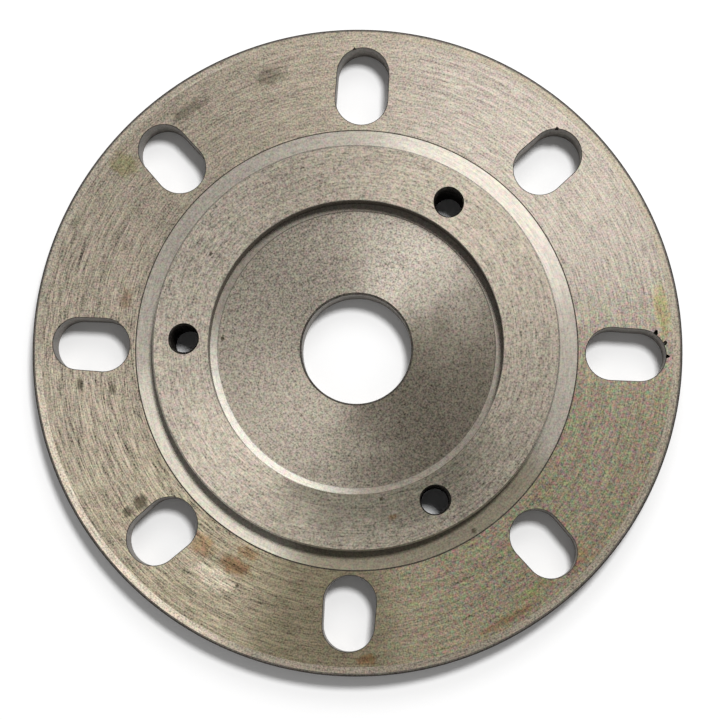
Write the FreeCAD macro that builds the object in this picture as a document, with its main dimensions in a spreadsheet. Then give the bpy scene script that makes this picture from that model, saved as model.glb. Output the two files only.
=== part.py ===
import FreeCAD, Part
import math
import os
import Sketcher

# Lathe faceplate, one iron casting turned on both faces, in millimetres.
# The work face lies on Z = 0 and the spindle side, with hub and register, looks up +Z.
# X runs along the slot that lies nearest to zero degrees.

doc = FreeCAD.newDocument("faceplate")

SIZES = [
    ("plate_dia", 160.0),       # turned outside of the plate
    ("plate_thick", 10.0),      # work face to the flat of the spindle side
    ("rim_bevel", 0.7),         # both corners of the rim
    ("land_dia", 109.1),        # raised turned ring round the foot of the hub
    ("land_height", 0.35),
    ("hub_dia", 99.5),
    ("hub_height", 6.0),        # hub face above the flat of the plate
    ("hub_bevel", 0.4),
    ("register_dia", 72.0),     # recess that centres on the spindle flange
    ("register_depth", 6.0),
    ("register_bevel", 0.15),
    ("seat_width", 1.7),        # narrow seat left standing against the register wall
    ("seat_height", 0.2),
    ("bore_dia", 27.0),
    ("bore_bevel", 0.5),
    ("stud_circle_dia", 84.0),
    ("stud_hole_dia", 6.8),     # tapping size for M8
    ("stud_angle", 58.3),       # first stud hole from X
    ("stud_spread", 360.0),
    ("stud_count", 3),
    ("slot_offset", -0.25),     # outer end centres lie a little off the radius through the inner ones
    ("slot_growth", 0.06),      # inner ends are larger by this, outer ends smaller
    # Each slot was cored and cleaned up by hand, so each has its own angle from X, mean end radius,
    # run from one end centre to the other, and web left between its outer end and the rim.
    ("east_angle", -0.1),
    ("east_radius", 6.4),
    ("east_run", 6.8),
    ("east_web", 4.1),
    ("northeast_angle", 45.7),
    ("northeast_radius", 6.4),
    ("northeast_run", 5.4),
    ("northeast_web", 4.7),
    ("north_angle", 90.0),
    ("north_radius", 6.45),
    ("north_run", 6.4),
    ("north_web", 4.8),
    ("northwest_angle", 135.2),
    ("northwest_radius", 6.3),
    ("northwest_run", 6.2),
    ("northwest_web", 4.6),
    ("west_angle", 180.1),
    ("west_radius", 6.5),
    ("west_run", 6.0),
    ("west_web", 5.1),
    ("southwest_angle", 224.5),
    ("southwest_radius", 6.65),
    ("southwest_run", 5.3),
    ("southwest_web", 5.4),
    ("south_angle", 269.7),
    ("south_radius", 6.4),
    ("south_run", 5.8),
    ("south_web", 5.9),
    ("southeast_angle", 314.9),
    ("southeast_radius", 6.4),
    ("southeast_run", 5.4),
    ("southeast_web", 4.8),
    # Three small breaks on the outer edge of the east slot, by their angle about its end centre.
    ("chip_upper_angle", 54.5),
    ("chip_middle_angle", 25.7),
    ("chip_lower_angle", -5.4),
    ("chip_radius", 0.55),
    ("chip_depth", 1.6),
]
SLOTS = ("east", "northeast", "north", "northwest", "west", "southwest", "south", "southeast")
CHIPS = ("chip_upper", "chip_middle", "chip_lower")

sheet = doc.addObject("Spreadsheet::Sheet", "sizes")
value_of = {}
for row, (alias, value) in enumerate(SIZES, start=1):
    sheet.set("A%d" % row, alias)
    sheet.set("B%d" % row, str(value))
    sheet.setAlias("B%d" % row, alias)
    value_of[alias] = value
doc.recompute()

body = doc.addObject("PartDesign::Body", "faceplate")
body.Label = "faceplate"
doc.recompute()


def origin_feature(role):
    return next(f for f in body.Origin.OriginFeatures if f.Role == role)


def new_sketch(name, role):
    sketch = body.newObject("Sketcher::SketchObject", name)
    sketch.AttachmentSupport = [(origin_feature(role), "")]
    sketch.MapMode = "FlatFace"
    doc.recompute()
    return sketch


def bind(sketch, name, constraint, expression):
    index = sketch.addConstraint(constraint)
    sketch.renameConstraint(index, name)
    sketch.setExpression("Constraints." + name, expression)


def check(feature):
    doc.recompute()
    body.Tip = feature
    doc.recompute()
    if feature.Shape.isNull() or not feature.Shape.isValid():
        raise RuntimeError("bad shape after " + feature.Name)
    return feature


def cut_through(name, sketch):
    before = body.Shape.Volume
    pocket = body.newObject("PartDesign::Pocket", name)
    pocket.Profile = sketch
    pocket.Type = 1
    pocket.Reversed = True
    sketch.Visibility = False
    check(pocket)
    if pocket.Shape.Volume > before - 1.0:
        pocket.Reversed = False
        check(pocket)
    if pocket.Shape.Volume > before - 1.0:
        raise RuntimeError(name + " cuts nothing")
    return pocket


# Half section of the whole turned shape, corner by corner: radius and height,
# each a sum of sizes with their factors.
FLAT = ((1, "plate_thick"),)
TOP = FLAT + ((1, "hub_height"),)
SEAT = TOP + ((-1, "register_depth"),)
FLOOR = SEAT + ((-1, "seat_height"),)
RIM = ((0.5, "plate_dia"),)
RIM_FLAT = RIM + ((-1, "rim_bevel"),)
LAND = ((0.5, "land_dia"),)
HUB = ((0.5, "hub_dia"),)
WALL = ((0.5, "register_dia"),)
SEAT_EDGE = WALL + ((-1, "seat_width"),)
BORE = ((0.5, "bore_dia"),)
BORE_MOUTH = BORE + ((1, "bore_bevel"),)
PROFILE = [
    ("face_bore", BORE_MOUTH, ()),
    ("face_rim", RIM_FLAT, ()),
    ("rim_low", RIM, ((1, "rim_bevel"),)),
    ("rim_high", RIM, FLAT + ((-1, "rim_bevel"),)),
    ("flat_rim", RIM_FLAT, FLAT),
    ("flat_land", LAND, FLAT),
    ("land_edge", LAND + ((-1, "land_height"),), FLAT + ((1, "land_height"),)),
    ("hub_foot", HUB, FLAT + ((1, "land_height"),)),
    ("hub_side", HUB, TOP + ((-1, "hub_bevel"),)),
    ("hub_edge", HUB + ((-1, "hub_bevel"),), TOP),
    ("mouth_edge", WALL + ((1, "register_bevel"),), TOP),
    ("mouth_wall", WALL, TOP + ((-1, "register_bevel"),)),
    ("seat_wall", WALL, SEAT),
    ("seat_edge", SEAT_EDGE, SEAT),
    ("floor_edge", SEAT_EDGE + ((-1, "seat_height"),), FLOOR),
    ("floor_bore", BORE_MOUTH, FLOOR),
    ("bore_high", BORE, FLOOR + ((-1, "bore_bevel"),)),
    ("bore_low", BORE, ((1, "bore_bevel"),)),
]


def expression(terms):
    return " + ".join("%g * sizes.%s" % term for term in terms)


def amount(terms):
    return sum(factor * value_of[alias] for factor, alias in terms)


section = new_sketch("turned_section", "XZ_Plane")
corners = [FreeCAD.Vector(amount(r), amount(z), 0) for _, r, z in PROFILE]
count = len(corners)
for i in range(count):
    section.addGeometry(Part.LineSegment(corners[i], corners[(i + 1) % count]), False)
for i in range(count):
    section.addConstraint(Sketcher.Constraint("Coincident", i, 2, (i + 1) % count, 1))
for i, (name, r, z) in enumerate(PROFILE):
    bind(section, name + "_r", Sketcher.Constraint("DistanceX", -1, 1, i, 1, corners[i].x),
         expression(r))
    if z:
        bind(section, name + "_z", Sketcher.Constraint("DistanceY", -1, 1, i, 1, corners[i].y),
             expression(z))
    else:
        section.addConstraint(Sketcher.Constraint("PointOnObject", i, 1, -1))
doc.recompute()

turned = body.newObject("PartDesign::Revolution", "turned_blank")
turned.Profile = section
turned.ReferenceAxis = (section, ["V_Axis"])
turned.Angle = 360.0
section.Visibility = False
check(turned)

# M8 stud holes through hub and plate, the thread itself is fine and cut in the visual model.
stud_sketch = new_sketch("stud_hole_place", "XY_Plane")
first = math.radians(value_of["stud_angle"])
reach = value_of["stud_circle_dia"] / 2
stud_sketch.addGeometry(Part.Circle(FreeCAD.Vector(reach * math.cos(first), reach * math.sin(first), 0),
                                    FreeCAD.Vector(0, 0, 1), value_of["stud_hole_dia"] / 2), False)
bind(stud_sketch, "stud_radius", Sketcher.Constraint("Radius", 0, value_of["stud_hole_dia"] / 2),
     "sizes.stud_hole_dia / 2")
bind(stud_sketch, "stud_x", Sketcher.Constraint("DistanceX", -1, 1, 0, 3, reach * math.cos(first)),
     "sizes.stud_circle_dia / 2 * cos(sizes.stud_angle * 1 deg)")
bind(stud_sketch, "stud_y", Sketcher.Constraint("DistanceY", -1, 1, 0, 3, reach * math.sin(first)),
     "sizes.stud_circle_dia / 2 * sin(sizes.stud_angle * 1 deg)")
doc.recompute()
first_hole = cut_through("stud_hole", stud_sketch)
ring = body.newObject("PartDesign::PolarPattern", "stud_holes")
ring.Originals = [first_hole]
ring.Axis = (stud_sketch, ["N_Axis"])
ring.Angle = 360.0
ring.Occurrences = 3
ring.setExpression("Angle", "sizes.stud_spread * 1 deg")
ring.setExpression("Occurrences", "sizes.stud_count")
check(ring)


def slot_terms(name):
    """Sizes that place one slot along its own radius: both end radii and both end centres."""
    inner_radius = ((1, name + "_radius"), (1, "slot_growth"))
    outer_radius = ((1, name + "_radius"), (-1, "slot_growth"))
    outer = RIM + ((-1, name + "_web"), (-1, name + "_radius"), (1, "slot_growth"))
    inner = outer + ((-1, name + "_run"),)
    return inner, inner_radius, outer, outer_radius


def turn_with_slot(sketch, name, height):
    """Turns a sketch so that its X runs along the slot, and lifts it to the height given in sizes."""
    up = FreeCAD.Vector(0, 0, 1)
    sketch.AttachmentOffset = FreeCAD.Placement(FreeCAD.Vector(0, 0, amount(height)), up,
                                                value_of[name + "_angle"])
    sketch.setExpression("AttachmentOffset.Rotation.Angle", "sizes.%s_angle * 1 deg" % name)
    if height:
        sketch.setExpression("AttachmentOffset.Base.z", expression(height))
    doc.recompute()


def slot_sketch(name):
    """Closed outline of two end arcs and the two straight sides that are tangent to both."""
    sketch = new_sketch(name + "_slot_outline", "XY_Plane")
    terms = slot_terms(name)
    inner, inner_radius, outer, outer_radius = [amount(term) for term in terms]
    aside = value_of["slot_offset"]
    inner_centre = FreeCAD.Vector(inner, 0, 0)
    outer_centre = FreeCAD.Vector(outer, aside, 0)
    span = outer_centre - inner_centre
    heading = math.atan2(span.y, span.x)
    tilt = math.asin((inner_radius - outer_radius) / span.Length)
    left = heading + math.pi / 2 - tilt
    right = heading - math.pi / 2 + tilt

    def at(centre, radius, angle):
        return centre + FreeCAD.Vector(radius * math.cos(angle), radius * math.sin(angle), 0)

    up = FreeCAD.Vector(0, 0, 1)
    inner_circle = Part.Circle(inner_centre, up, inner_radius)
    outer_circle = Part.Circle(outer_centre, up, outer_radius)
    sketch.addGeometry(Part.ArcOfCircle(inner_circle, left, right + 2 * math.pi), False)
    sketch.addGeometry(Part.ArcOfCircle(outer_circle, right, left), False)
    sketch.addGeometry(Part.LineSegment(at(inner_centre, inner_radius, right),
                                        at(outer_centre, outer_radius, right)), False)
    sketch.addGeometry(Part.LineSegment(at(outer_centre, outer_radius, left),
                                        at(inner_centre, inner_radius, left)), False)
    sketch.addConstraint(Sketcher.Constraint("Tangent", 0, 2, 2, 1))
    sketch.addConstraint(Sketcher.Constraint("Tangent", 2, 2, 1, 1))
    sketch.addConstraint(Sketcher.Constraint("Tangent", 1, 2, 3, 1))
    sketch.addConstraint(Sketcher.Constraint("Tangent", 3, 2, 0, 1))
    sketch.addConstraint(Sketcher.Constraint("PointOnObject", 0, 3, -1))
    bind(sketch, "inner", Sketcher.Constraint("DistanceX", -1, 1, 0, 3, inner), expression(terms[0]))
    bind(sketch, "outer", Sketcher.Constraint("DistanceX", -1, 1, 1, 3, outer), expression(terms[2]))
    bind(sketch, "aside", Sketcher.Constraint("DistanceY", -1, 1, 1, 3, aside), "sizes.slot_offset")
    bind(sketch, "inner_radius", Sketcher.Constraint("Radius", 0, inner_radius), expression(terms[1]))
    bind(sketch, "outer_radius", Sketcher.Constraint("Radius", 1, outer_radius), expression(terms[3]))
    turn_with_slot(sketch, name, ())
    return sketch


for name in SLOTS:
    cut_through(name + "_slot", slot_sketch(name))

# Broken spots on the spindle side edge of the east slot.
chip_sketch = new_sketch("chip_places", "XY_Plane")
_, _, end_centre, end_radius = slot_terms("east")
for i, name in enumerate(CHIPS):
    angle = math.radians(value_of[name + "_angle"])
    x = amount(end_centre) + amount(end_radius) * math.cos(angle)
    y = value_of["slot_offset"] + amount(end_radius) * math.sin(angle)
    chip_sketch.addGeometry(Part.Circle(FreeCAD.Vector(x, y, 0), FreeCAD.Vector(0, 0, 1),
                                        value_of["chip_radius"]), False)
    bind(chip_sketch, name + "_size", Sketcher.Constraint("Radius", i, value_of["chip_radius"]),
         "sizes.chip_radius")
    bind(chip_sketch, name + "_along", Sketcher.Constraint("DistanceX", -1, 1, i, 3, x),
         "%s + (%s) * cos(sizes.%s_angle * 1 deg)" % (expression(end_centre), expression(end_radius), name))
    bind(chip_sketch, name + "_across", Sketcher.Constraint("DistanceY", -1, 1, i, 3, y),
         "sizes.slot_offset + (%s) * sin(sizes.%s_angle * 1 deg)" % (expression(end_radius), name))
turn_with_slot(chip_sketch, "east", FLAT)
before_chips = body.Shape.Volume
chips = body.newObject("PartDesign::Pocket", "edge_chips")
chips.Profile = chip_sketch
chips.Length = value_of["chip_depth"]
chips.setExpression("Length", "sizes.chip_depth")
chip_sketch.Visibility = False
check(chips)
if not 0.2 < before_chips - chips.Shape.Volume < 20.0:
    chips.Reversed = True
    check(chips)

doc.recompute()
for item in doc.Objects:
    if "Invalid" in item.State or "Error" in item.State:
        raise RuntimeError("not solved: " + item.Name)
if body.Shape.isNull() or not body.Shape.isValid() or len(body.Shape.Solids) != 1:
    raise RuntimeError("faceplate is not one valid solid")

os.makedirs("parts", exist_ok=True)
body.Shape.exportStep("parts/faceplate.step")
print("faceplate volume mm3 %.0f" % body.Shape.Volume)
print("chips took mm3 %.2f" % (before_chips - body.Shape.Volume))
print("box", body.Shape.BoundBox)
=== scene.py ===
import math

import bmesh
import bpy
from mathutils import Matrix, Vector


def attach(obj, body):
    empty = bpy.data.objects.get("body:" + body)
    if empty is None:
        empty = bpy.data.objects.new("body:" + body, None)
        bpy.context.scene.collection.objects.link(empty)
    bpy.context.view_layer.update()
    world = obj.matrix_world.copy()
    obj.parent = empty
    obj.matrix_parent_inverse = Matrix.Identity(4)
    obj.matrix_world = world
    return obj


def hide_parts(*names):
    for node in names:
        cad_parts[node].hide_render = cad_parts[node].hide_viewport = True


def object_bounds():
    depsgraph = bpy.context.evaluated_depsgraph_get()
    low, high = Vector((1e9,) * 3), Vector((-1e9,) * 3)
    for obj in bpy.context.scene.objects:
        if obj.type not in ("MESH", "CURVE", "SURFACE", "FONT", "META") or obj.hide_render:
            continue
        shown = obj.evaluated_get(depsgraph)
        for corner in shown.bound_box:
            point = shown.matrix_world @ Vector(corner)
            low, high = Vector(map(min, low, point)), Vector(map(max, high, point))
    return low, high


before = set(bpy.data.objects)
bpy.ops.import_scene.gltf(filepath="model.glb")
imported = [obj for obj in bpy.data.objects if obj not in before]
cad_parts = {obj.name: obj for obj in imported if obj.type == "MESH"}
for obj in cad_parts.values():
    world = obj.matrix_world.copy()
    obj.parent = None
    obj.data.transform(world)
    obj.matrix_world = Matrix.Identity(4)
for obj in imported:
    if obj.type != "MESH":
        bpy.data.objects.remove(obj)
cad_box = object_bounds()

MM = 0.001

# ---------------------------------------------------------------- sizes, in millimetres
# Work face on z = 0, hub and register upwards, x along the east slot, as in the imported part.
RIM_RADIUS = cad_box[1].x / MM
TOP = cad_box[1].z / MM
FLAT = 10.0                # flat of the spindle side
RIM_BEVEL = 0.7
RIM_BAND = 2.3             # width of the band along the rim that was turned to bare iron
LAND_RADIUS = 54.55
LAND_HEIGHT = 0.35
HUB_RADIUS = 49.75
HUB_BEVEL = 0.4
REGISTER_RADIUS = 36.0
REGISTER_DEPTH = 6.0
REGISTER_BEVEL = 0.15
SEAT_WIDTH = 1.7
SEAT_HEIGHT = 0.2
BORE_RADIUS = 13.5
BORE_BEVEL = 0.5
STEPS_ROUND = 256
ARC_STEPS = 24              # steps in each round end of a slot
BEYOND = 1.0                # how far a cutter stands out of the surface it cuts

STUD_CIRCLE_RADIUS = 42.0
STUD_ANGLES = (58.3, 178.3, 298.3)
THREAD_PITCH = 1.25
THREAD_CREST = 3.4         # radius at the crests, the tapping size
THREAD_ROOT = 4.0
THREAD_FLANK = 0.3 * THREAD_PITCH
THREAD_ROOT_FLAT = 0.1     # half the flat at the root
THREAD_SEGMENTS = 40
THREAD_CUTS = 110          # cuts along the threaded cutter
THREAD_TURN = 0.37         # how much further round the thread starts from one hole to the next
MOUTH_RADIUS = 3.75        # the mouth is worn open a little

SLOT_OFFSET = -0.25        # the outer end lies that far aside of the inner one
SLOT_GROWTH = 0.06         # the inner end is that much larger in radius, the outer one smaller
SLOT_EDGE = 0.18           # break along the slot edges
# angle from x, mean end radius, run between end centres, web left to the rim
SLOTS = {
    "east": (-0.1, 6.4, 6.8, 4.1),
    "northeast": (45.7, 6.4, 5.4, 4.7),
    "north": (90.0, 6.45, 6.4, 4.8),
    "northwest": (135.2, 6.3, 6.2, 4.6),
    "west": (180.1, 6.5, 6.0, 5.1),
    "southwest": (224.5, 6.65, 5.3, 5.4),
    "south": (269.7, 6.4, 5.8, 5.9),
    "southeast": (314.9, 6.4, 5.4, 4.8),
}
# chips in the edges round the slots: x, y, reach, depth
NICKS = (
    (73.4, 5.3, 0.6, 1.6),
    (75.6, 2.8, 0.5, 1.6),
    (76.3, -0.5, 0.5, 1.6),
    (48.5, 55.6, 0.45, 0.6),
    (-73.3, 4.1, 0.5, 0.6),
    (-2.0, 74.9, 0.4, 0.5),
)
NICK_UNEVENNESS = 0.22

# reach of the surface noise
RING_WIDTH, RING_LENGTH = 0.3, 2.6
BAND_WIDTH, BAND_LENGTH = 0.8, 16.0
GRAPHITE = 0.42
COLOUR_SPECK = 0.9
# how strongly each of the three colour channels takes part in the colour specks
SPECK_SHARES = (1.0, 0.9, 0.5)
HALF = (0.5, 0.5, 0.5)
WHITE = (1.0, 1.0, 1.0, 1.0)
STAIN_RAGGEDNESS = 1.2
# turns the stretch of the highlight across the rings, a quarter of a turn
ACROSS_RINGS = 0.25

TABLE_SIZE = 3.0           # metres from the middle to each side
TABLE_GAP = 0.05


# ---------------------------------------------------------------- node material helpers
def shade(red, green, blue):
    """A colour given as display values from 0 to 255, in the linear form that sockets take."""
    linear = [v / 12.92 if v <= 0.04045 else ((v + 0.055) / 1.055) ** 2.4
              for v in (red / 255, green / 255, blue / 255)]
    return (*linear, 1.0)


class Wire:
    """A socket of a node tree. Arithmetic on it adds Math nodes."""

    def __init__(self, finish, socket):
        self.finish = finish
        self.socket = socket

    def math(self, operation, *values):
        return self.finish.node("ShaderNodeMath", {"operation": operation}, dict(enumerate(values)))

    def __add__(self, other):
        return self.math("ADD", self, other)

    def __sub__(self, other):
        return self.math("SUBTRACT", self, other)

    def __rsub__(self, other):
        return self.math("SUBTRACT", other, self)

    def __mul__(self, other):
        return self.math("MULTIPLY", self, other)

    def __truediv__(self, other):
        return self.math("DIVIDE", self, other)

    def __pow__(self, other):
        return self.math("POWER", self, other)

    __radd__ = __add__
    __rmul__ = __mul__

    def ramp(self, start, end):
        """0 at start, 1 at end, eased, whichever of the two is larger."""
        low, high = min(start, end), max(start, end)
        eased = self.finish.node("ShaderNodeMapRange", {"interpolation_type": "SMOOTHSTEP"},
                                 {"Value": self, "From Min": low, "From Max": high})
        return eased if start < end else 1 - eased


class Finish:
    """A material on a Principled shader, with its surface coordinates in millimetres."""

    def __init__(self, name):
        self.material = bpy.data.materials.new(name)
        self.material.use_nodes = True
        self.tree = self.material.node_tree
        self.shader = self.tree.nodes["Principled BSDF"]
        place = self.node("ShaderNodeTexCoord", output="Object")
        self.place = self.scaled(place, 1 / MM)
        split = self.node("ShaderNodeSeparateXYZ", values={0: self.place}).socket.node
        self.x, self.y, self.z = (Wire(self, socket) for socket in split.outputs)
        self.radius = (self.x * self.x + self.y * self.y) ** 0.5

    def node(self, kind, settings=None, values=None, output=0):
        made = self.tree.nodes.new(kind)
        for key, value in (settings or {}).items():
            setattr(made, key, value)
        for key, value in (values or {}).items():
            self.feed(made.inputs[key], value)
        return Wire(self, made.outputs[output])

    def feed(self, socket, value):
        if isinstance(value, Wire):
            self.tree.links.new(value.socket, socket)
        else:
            socket.default_value = value

    def set(self, values):
        """Sets or links sockets of the shader."""
        for key, value in values.items():
            self.feed(self.shader.inputs[key], value)

    def mix(self, share, first, second):
        """The first colour at share 0, the second at share 1."""
        return self.node("ShaderNodeMix", {"data_type": "RGBA"}, {0: share, 6: first, 7: second}, output=2)

    def vector(self, operation, *values):
        return self.node("ShaderNodeVectorMath", {"operation": operation}, dict(enumerate(values)))

    def scaled(self, vector, factor):
        return self.node("ShaderNodeVectorMath", {"operation": "SCALE"}, {0: vector, "Scale": factor})

    def noise(self, vector, scale, detail, seed, output="Fac"):
        moved = self.vector("ADD", vector, (seed, 3 * seed, 7 * seed))
        return self.node("ShaderNodeTexNoise", values={"Vector": moved, "Scale": scale, "Detail": detail},
                         output=output)

    def grain(self, size, detail, seed):
        """Even noise from 0 to 1 whose lumps are about size across."""
        return self.noise(self.place, 1 / size, detail, seed)

    def tool_marks(self, width, length, seed):
        """Noise drawn out along circles round the axis: marks of that width and length."""
        turns = STUD_CIRCLE_RADIUS / length
        around = self.node("ShaderNodeCombineXYZ", values={
            0: self.x / self.radius * turns, 1: self.y / self.radius * turns, 2: self.radius / width})
        return self.noise(around, 1.0, 2.0, seed)

    def stain(self, x, y, along, across):
        """A ragged spot at x, y, drawn out along the circle that it lies on, 1 in its middle."""
        reach = math.hypot(x, y)
        out_x, out_y = x / reach, y / reach
        far = ((self.x - x) * out_x + (self.y - y) * out_y) / across
        side = ((self.y - y) * out_x - (self.x - x) * out_y) / along
        lumps = (self.grain(min(along, across) * 0.6, 3.0, x + y) - 0.5) * STAIN_RAGGEDNESS
        return ((far * far + side * side) ** 0.5 + lumps).ramp(1.0, 0.35)

    def stained(self, colour, stains):
        """The colour with a list of spots laid over it."""
        for x, y, along, across, strength, tone in stains:
            colour = self.mix(self.stain(x, y, along, across) * strength, colour, tone)
        return colour

    def toward(self, angle):
        """The cosine of the angle between that direction and the way out from the axis."""
        turn = math.radians(angle)
        return (self.x * math.cos(turn) + self.y * math.sin(turn)) / self.radius

    def sector(self, middle, half_width, soft):
        """1 within half_width degrees of a direction, 0 from soft degrees beyond that."""
        return self.toward(middle).ramp(math.cos(math.radians(half_width + soft)),
                                        math.cos(math.radians(half_width)))

    def bump(self, height, depth):
        """Normal from a height of 0 to 1 that stands for depth millimetres."""
        return self.node("ShaderNodeBump", values={"Strength": 1.0, "Distance": depth * MM, "Height": height})

    def turned(self, colour, seed, streaks=1.0, speckle=1.0, cast=0.4, depth=0.01, roughness=0.55,
               anisotropy=0.7):
        """Iron turned on the lathe: fine rings, speckled by the graphite of the casting."""
        fine = self.tool_marks(RING_WIDTH, RING_LENGTH, seed)
        broad = self.tool_marks(BAND_WIDTH, BAND_LENGTH, seed + 3)
        grain = self.grain(GRAPHITE, 1.0, seed + 5)
        tone = 1 + streaks * (1.3 * (fine - 0.5) + 0.5 * (broad - 0.5)) + speckle * 2.2 * (grain - 0.5)
        specks = self.noise(self.place, 1 / COLOUR_SPECK, 1.0, seed + 9, output="Color")
        specks = self.vector("MULTIPLY", self.vector("SUBTRACT", specks, HALF), SPECK_SHARES)
        specks = self.vector("ADD", self.scaled(specks, cast), WHITE[:3])
        self.set({"Base Color": self.scaled(self.vector("MULTIPLY", colour, specks), tone),
                  "Metallic": 1.0, "Roughness": roughness + 0.2 * (grain - 0.5),
                  "Anisotropic": anisotropy, "Anisotropic Rotation": ACROSS_RINGS,
                  "Normal": self.bump(0.7 * fine + 0.3 * grain, depth)})
        return self.material


# ---------------------------------------------------------------- finishes
RUST = shade(108, 80, 50)
BROWN = shade(92, 66, 42)
OLIVE = shade(112, 110, 64)
GRIME = shade(58, 53, 42)
BARE = shade(172, 163, 146)

# x and y in millimetres, reach along the circle and across it, strength, colour
FLANGE_STAINS = (
    (-36.7, -48.8, 4.5, 3.5, 0.6, RUST),
    (-28.6, -53.5, 6.5, 3.0, 0.75, BROWN),
    (-25.5, -50.5, 4.0, 2.0, 0.6, RUST),
    (-33.6, -57.1, 7.0, 3.5, 0.6, BARE),
    (-52.2, -38.6, 2.4, 2.4, 0.8, GRIME),
    (-55.1, -41.1, 2.0, 1.6, 0.8, GRIME),
    (54.7, -49.9, 6.0, 3.0, 0.55, shade(128, 96, 74)),
    (45.0, -58.0, 7.0, 2.5, 0.4, OLIVE),
    (38.7, -65.0, 11.0, 1.5, 0.55, BROWN),
    (4.1, -75.9, 3.5, 1.8, 0.7, BROWN),
    (74.8, 10.6, 9.0, 2.5, 0.5, shade(132, 124, 70)),
    (-58.6, 45.1, 4.0, 5.0, 0.5, OLIVE),
    (-43.1, 58.7, 7.0, 2.2, 0.5, GRIME),
    (-22.9, 67.6, 6.0, 3.0, 0.5, GRIME),
    (-57.1, 11.4, 4.0, 2.2, 0.5, BROWN),
    (-67.9, -10.1, 2.2, 1.2, 0.7, GRIME),
    (-59.9, -10.7, 2.2, 1.2, 0.7, GRIME),
    (-65.3, 43.5, 0.9, 0.7, 0.9, GRIME),
    (-22.6, 75.9, 2.6, 0.8, 0.8, GRIME),
    (-27.9, -58.6, 0.7, 0.7, 0.9, GRIME),
    (40.7, 68.5, 1.8, 0.9, 0.8, shade(214, 206, 190)),
)
LAND_STAINS = ((29.6, -44.1, 0.9, 0.8, 0.8, GRIME),)
HUB_STAINS = (
    (-35.9, 22.1, 0.8, 0.6, 0.9, GRIME),
    (6.9, -36.9, 0.7, 0.6, 0.9, GRIME),
    (9.9, -41.3, 1.6, 0.9, 0.6, BROWN),
)
RECESS_STAINS = (
    (-33.0, 2.0, 0.9, 0.7, 0.9, GRIME),
    (-15.3, 31.0, 1.2, 0.7, 0.7, GRIME),
)


def flange_iron():
    """Brighter and greyer to the upper right: painted highlight. Darker and browner towards the lower right
    and the lower edge: partly real browning, partly painted shade.
    """
    finish = Finish("flange_iron")
    cloud = 1.2 * (finish.grain(12.0, 3.0, 7.0) - 0.5)
    # Share from the darker, browner lower right to the upper left: painted shade with some real browning.
    lit_and_clean = (finish.toward(115) + cloud).ramp(-1.1, 0.6)
    colour = finish.mix(lit_and_clean, shade(124, 116, 97), shade(140, 131, 117))
    # Painted highlight: brighter and greyer to the upper right, where the lamp's highlight lies.
    colour = finish.mix(finish.sector(45, 15, 40), colour, shade(142, 134, 124))
    colour = finish.mix(finish.sector(264, 5, 14) * 0.8, colour, shade(90, 83, 67))
    damp = finish.sector(325, 15, 45)
    scored = finish.sector(205, 20, 50)
    return finish.turned(finish.stained(colour, FLANGE_STAINS), 0.0, streaks=1 + 0.9 * scored,
                         cast=0.4 + 0.9 * damp)


def rim_iron():
    """The band along the rim, turned to bare iron last, with a painted highlight to the lower left and
    painted shade to the lower right.
    """
    finish = Finish("rim_iron")
    colour = finish.mix(finish.sector(140, 15, 25), shade(137, 129, 115), shade(154, 145, 131))
    # Painted highlight: brighter to the lower left, where the lamp's highlight lies.
    colour = finish.mix(finish.sector(215, 18, 20), colour, shade(170, 160, 145))
    # Painted shade: darker to the lower right.
    colour = finish.mix(finish.sector(272, 12, 18), colour, shade(121, 113, 101))
    return finish.turned(colour, 61.0, streaks=0.8, depth=0.005)


def edge_iron():
    """The bevel of the rim, painted darker on its outer half as shade."""
    finish = Finish("edge_iron")
    # Painted shade: the outer half of the bevel darker.
    colour = finish.mix(finish.z.ramp(FLAT - 0.25, FLAT - 0.5), shade(116, 110, 102), shade(66, 62, 58))
    return finish.turned(colour, 67.0, streaks=0.5)


def land_iron():
    """The narrow ring round the hub and the small edges, finely finished, with painted highlights to the
    upper right and the lower left and painted shade to the lower right.
    """
    finish = Finish("land_iron")
    # Painted highlight: brighter to the upper right.
    colour = finish.mix(finish.sector(50, 22, 20), shade(147, 141, 131), shade(167, 161, 151))
    # Painted highlight: brighter to the lower left.
    colour = finish.mix(finish.sector(222, 28, 12), colour, shade(170, 164, 152))
    # Painted shade: darker to the lower right.
    colour = finish.mix(finish.sector(292, 30, 15), colour, shade(122, 115, 100))
    return finish.turned(finish.stained(colour, LAND_STAINS), 11.0, streaks=0.5, speckle=0.6, depth=0.004)


def seat_iron():
    """Brighter on the lower left side: a painted highlight where the lamp is reflected."""
    finish = Finish("seat_iron")
    # Painted highlight: brighter to the lower left.
    colour = finish.mix(finish.sector(222, 22, 35), shade(132, 125, 115), shade(180, 176, 166))
    return finish.turned(colour, 71.0, streaks=0.4, speckle=0.6, depth=0.004)


def hub_iron():
    """Even, and darker on the lower right, the side where the register floor is darker too: painted shade,
    broken up by real blotches.
    """
    finish = Finish("hub_iron")
    cloud = 0.8 * (finish.grain(9.0, 3.0, 27.0) - 0.5)
    # Mask of the darker lower right: painted shade, with real blotches from the cloud noise.
    shaded_and_dull = finish.sector(285, 15, 40) * (finish.radius.ramp(50, 37) * 0.6 + 0.4) + cloud
    colour = finish.mix(finish.sector(180, 40, 30), shade(136, 128, 116), shade(146, 138, 126))
    colour = finish.mix(shaded_and_dull.ramp(0, 1), colour, shade(102, 97, 86))
    return finish.turned(finish.stained(colour, HUB_STAINS), 21.0)


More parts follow.
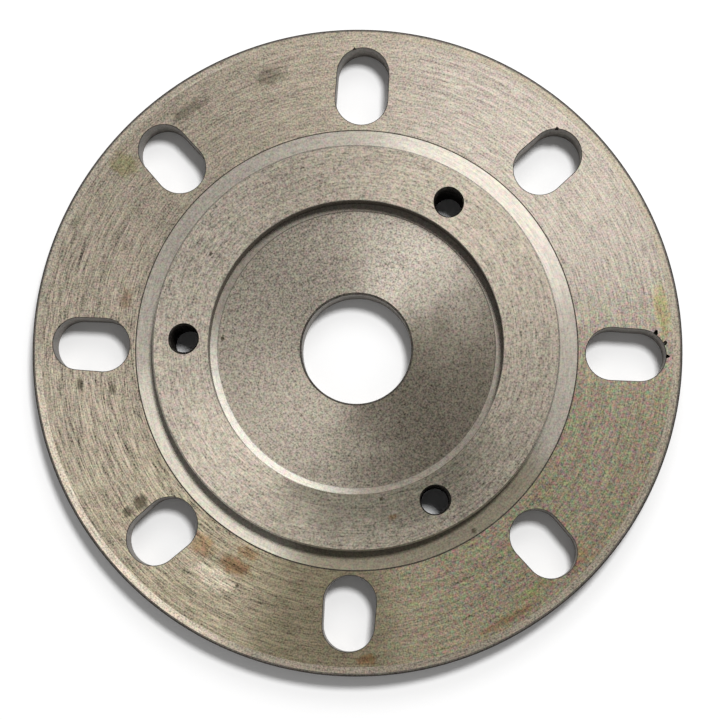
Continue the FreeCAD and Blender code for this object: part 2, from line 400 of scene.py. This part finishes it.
def recess_iron():
    """Floor of the register, more speckled than ringed."""
    finish = Finish("recess_iron")
    # Mask of the darker lower right: painted shade, with real blotches from the grain.
    shaded_and_dull = finish.toward(330) + 0.7 * (finish.grain(8.0, 3.0, 37.0) - 0.5)
    # Painted highlight: brighter to the upper right.
    colour = finish.mix(finish.sector(48, 15, 35), shade(129, 122, 111), shade(140, 133, 123))
    colour = finish.mix(shaded_and_dull.ramp(0.0, 1.0), colour, shade(94, 88, 78))
    return finish.turned(finish.stained(colour, RECESS_STAINS), 31.0, streaks=0.5, speckle=1.2)


def wall_iron():
    """Walls of slots, bore, hub and register."""
    finish = Finish("wall_iron")
    colour = finish.mix(finish.grain(2.0, 3.0, 41.0), shade(95, 90, 84), shade(140, 134, 126))
    return finish.turned(colour, 41.0, streaks=0.4, anisotropy=0.0, roughness=0.5)


def thread_iron():
    """Tapped holes and chips, painted dark as shade."""
    finish = Finish("thread_iron")
    # Painted shade: the walls of the holes and chips darker.
    colour = finish.mix(finish.grain(0.8, 3.0, 80.0), shade(44, 41, 38), shade(72, 68, 63))
    return finish.turned(colour, 81.0, streaks=0.3, anisotropy=0.0)


def face_iron():
    """The work face."""
    finish = Finish("face_iron")
    colour = finish.mix(finish.grain(12.0, 3.0, 51.0), shade(116, 108, 92), shade(150, 142, 130))
    return finish.turned(colour, 51.0)


# ---------------------------------------------------------------- the casting
def turned_blank(materials):
    """The half section spun round the axis, with the finish of each surface."""
    rim, hub, wall, bore = RIM_RADIUS, HUB_RADIUS, REGISTER_RADIUS, BORE_RADIUS
    seat = TOP - REGISTER_DEPTH
    floor = seat - SEAT_HEIGHT
    # radius, height, finish of the surface that runs from here to the next corner
    section = [
        (bore + BORE_BEVEL, 0.0, "face"),
        (rim - RIM_BEVEL, 0.0, "wall"),
        (rim, RIM_BEVEL, "wall"),
        (rim, FLAT - RIM_BEVEL, "edge"),
        (rim - RIM_BEVEL, FLAT, "rim"),
        (rim - RIM_BAND, FLAT, "flange"),
        (LAND_RADIUS, FLAT, "wall"),
        (LAND_RADIUS - LAND_HEIGHT, FLAT + LAND_HEIGHT, "land"),
        (hub, FLAT + LAND_HEIGHT, "wall"),
        (hub, TOP - HUB_BEVEL, "land"),
        (hub - HUB_BEVEL, TOP, "hub"),
        (wall + REGISTER_BEVEL, TOP, "land"),
        (wall, TOP - REGISTER_BEVEL, "wall"),
        (wall, seat, "seat"),
        (wall - SEAT_WIDTH, seat, "seat"),
        (wall - SEAT_WIDTH - SEAT_HEIGHT, floor, "recess"),
        (bore + BORE_BEVEL, floor, "wall"),
        (bore, floor - BORE_BEVEL, "wall"),
        (bore, BORE_BEVEL, "wall"),
    ]
    bm = bmesh.new()
    verts = [bm.verts.new((r * MM, 0.0, z * MM)) for r, z, _ in section]
    edges = [bm.edges.new((a, b)) for a, b in zip(verts, verts[1:] + verts[:1])]
    bmesh.ops.spin(bm, geom=verts + edges, cent=(0, 0, 0), axis=(0, 0, 1), dvec=(0, 0, 0),
                   angle=2 * math.pi, steps=STEPS_ROUND, use_merge=True)
    names = list(materials)
    bm.faces.ensure_lookup_table()
    mids = [((a[0] + b[0]) / 2, (a[1] + b[1]) / 2, a[2]) for a, b in zip(section, section[1:] + section[:1])]
    for face in bm.faces:
        low = min(math.hypot(v.co.x, v.co.y) for v in face.verts) / MM
        high = max(math.hypot(v.co.x, v.co.y) for v in face.verts) / MM
        height = sum(v.co.z for v in face.verts) / len(face.verts) / MM
        nearest = min(mids, key=lambda m: abs(m[0] - (low + high) / 2) + abs(m[1] - height))
        face.material_index = names.index(nearest[2])
    bmesh.ops.recalc_face_normals(bm, faces=bm.faces)
    return bm


def slot_cutter(angle, radius, run, web):
    """A prism of the slot's outline that flares at both faces of the plate to break the edges."""
    inner_radius, outer_radius = radius + SLOT_GROWTH, radius - SLOT_GROWTH
    outer = RIM_RADIUS - web - outer_radius
    inner = outer - run
    turn = Matrix.Rotation(math.radians(angle), 4, "Z")
    bm = bmesh.new()

    def outline(height, grown):
        points = []
        for centre, end_radius, start in ((Vector((inner, 0, 0)), inner_radius, 90),
                                          (Vector((outer, SLOT_OFFSET, 0)), outer_radius, -90)):
            for i in range(ARC_STEPS + 1):
                a = math.radians(start + 180 * i / ARC_STEPS)
                points.append(centre + Vector((math.cos(a), math.sin(a), 0)) * (end_radius + grown)
                              + Vector((0, 0, height)))
        verts = [bm.verts.new(turn @ (p * MM)) for p in points]
        return [bm.edges.new((a, b)) for a, b in zip(verts, verts[1:] + verts[:1])]

    levels = ((-BEYOND, SLOT_EDGE + BEYOND), (SLOT_EDGE, 0.0), (FLAT - SLOT_EDGE, 0.0),
              (FLAT + BEYOND, SLOT_EDGE + BEYOND))
    rings = [outline(height, grown) for height, grown in levels]
    for low, high in zip(rings, rings[1:]):
        bmesh.ops.bridge_loops(bm, edges=low + high)
    for cap in (rings[0], rings[-1]):
        bmesh.ops.edgeloop_fill(bm, edges=cap)
    return bm


def thread_cutter(angle, phase):
    """A threaded rod: its crests cut the roots of the tapped hole."""
    centre = Matrix.Rotation(math.radians(angle), 4, "Z") @ Vector((STUD_CIRCLE_RADIUS, 0, 0))
    length = TOP + 2 * BEYOND
    bm = bmesh.new()
    bmesh.ops.create_cone(bm, cap_ends=True, segments=THREAD_SEGMENTS, radius1=MM, radius2=MM,
                          depth=length * MM)
    upright = [e for e in bm.edges if abs(e.verts[0].co.z - e.verts[1].co.z) > MM]
    bmesh.ops.subdivide_edges(bm, edges=upright, cuts=THREAD_CUTS, use_grid_fill=True)
    for v in bm.verts:
        height = v.co.z / MM + TOP / 2
        around = math.atan2(v.co.y, v.co.x)
        turn = (height / THREAD_PITCH - around / (2 * math.pi) + phase) % 1.0
        from_root = abs(turn - 0.5) * THREAD_PITCH
        rise = min(1.0, max(0.0, (from_root - THREAD_ROOT_FLAT) / THREAD_FLANK))
        radius = THREAD_ROOT + (THREAD_CREST - THREAD_ROOT) * rise
        radius = max(radius, MOUTH_RADIUS - max(0.0, TOP - height))
        v.co = (centre + Vector((math.cos(around) * radius, math.sin(around) * radius, height))) * MM
    return bm


def nick_cutter(x, y, reach, depth):
    """A small lump that leaves a chip in an edge of the spindle side."""
    bm = bmesh.new()
    bmesh.ops.create_icosphere(bm, subdivisions=2, radius=1.0)
    for number, v in enumerate(bm.verts):
        uneven = 1.0 + NICK_UNEVENNESS * math.sin(5.1 * number + 3.0 * x)
        v.co = Vector((x + v.co.x * reach * uneven, y + v.co.y * reach * uneven, FLAT + v.co.z * depth)) * MM
    return bm


def cut_away(body, bm, finish, materials):
    """Cuts a closed shape out of the body and gives the new walls that finish."""
    bmesh.ops.recalc_face_normals(bm, faces=bm.faces)
    for face in bm.faces:
        face.material_index = list(materials).index(finish)
    cutter = mesh_object("cutter", bm, materials)
    cut = body.modifiers.new("cut", "BOOLEAN")
    cut.operation = "DIFFERENCE"
    cut.solver = "EXACT"
    cut.object = cutter
    graph = bpy.context.evaluated_depsgraph_get()
    finished = bpy.data.meshes.new_from_object(body.evaluated_get(graph))
    body.modifiers.clear()
    body.data = finished
    bpy.data.objects.remove(cutter)


def mesh_object(name, bm, materials):
    """A new object from the bmesh, with those materials in that order."""
    mesh = bpy.data.meshes.new(name)
    bm.to_mesh(mesh)
    bm.free()
    made = bpy.data.objects.new(name, mesh)
    bpy.context.scene.collection.objects.link(made)
    for material in materials.values():
        mesh.materials.append(material)
    return made


def casting():
    """The whole faceplate: the spun blank with slots, tapped holes and chips cut out of it."""
    materials = {"flange": flange_iron(), "rim": rim_iron(), "edge": edge_iron(), "land": land_iron(),
                 "hub": hub_iron(), "seat": seat_iron(), "recess": recess_iron(), "wall": wall_iron(),
                 "thread": thread_iron(), "face": face_iron()}
    body = mesh_object("faceplate_casting", turned_blank(materials), materials)
    for sizes in SLOTS.values():
        cut_away(body, slot_cutter(*sizes), "wall", materials)
    for number, angle in enumerate(STUD_ANGLES):
        cut_away(body, thread_cutter(angle, THREAD_TURN * number), "thread", materials)
    for sizes in NICKS:
        cut_away(body, nick_cutter(*sizes), "thread", materials)
    body.data.polygons.foreach_set("use_smooth", [True] * len(body.data.polygons))
    body.data.set_sharp_from_angle(angle=math.radians(30))
    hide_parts("faceplate")
    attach(body, "root")


# ---------------------------------------------------------------- table, light and camera
def table():
    finish = Finish("white_table")
    finish.set({"Base Color": WHITE, "Roughness": 1.0, "Specular IOR Level": 0.0})
    bm = bmesh.new()
    bmesh.ops.create_grid(bm, x_segments=1, y_segments=1, size=TABLE_SIZE)
    bmesh.ops.translate(bm, verts=bm.verts, vec=(0, 0, -TABLE_GAP * MM))
    made = mesh_object("table", bm, {"table": finish.material})


def studio():
    world = bpy.data.worlds.new("studio")
    bpy.context.scene.world = world
    world.use_nodes = True
    sky = world.node_tree.nodes["Background"]
    sky.inputs["Color"].default_value = WHITE
    sky.inputs["Strength"].default_value = 0.33

    def lamp(name, place, size, power):
        """A round lamp that points at the origin. Place and size in metres, power in watts."""
        data = bpy.data.lights.new(name, "AREA")
        data.shape = "DISK"
        data.size = size
        data.energy = power
        made = bpy.data.objects.new(name, data)
        made.location = place
        made.rotation_euler = (-Vector(place)).to_track_quat("-Z", "Y").to_euler()
        bpy.context.scene.collection.objects.link(made)

    lamp("key_lamp", (0.28, 0.48, 1.60), 0.30, 19.8)
    lamp("fill_lamp", (0.05, 0.40, 0.57), 0.30, 0.7)


def camera():
    """A long lens above the lower right of the plate."""
    place = Vector((18.70, -61.47, 621.86)) * MM
    aim = Vector((0.953, -2.737, FLAT)) * MM
    roll = math.radians(-1.161)
    data = bpy.data.cameras.new("camera")
    data.lens = 125.14
    data.sensor_width = 36.0
    data.clip_start = 0.01
    made = bpy.data.objects.new("camera", data)
    made.location = place
    ahead = (aim - place).normalized()
    right = ahead.cross(Vector((0, 1, 0))).normalized()
    up = right.cross(ahead)
    level = Matrix((right, up, -ahead)).transposed()
    made.rotation_euler = (level @ Matrix.Rotation(-roll, 3, "Z")).to_euler()
    bpy.context.scene.collection.objects.link(made)
    bpy.context.scene.camera = made


casting()
table()
studio()
camera()
bpy.context.scene.view_settings.view_transform = "Standard"

bpy.context.view_layer.update()
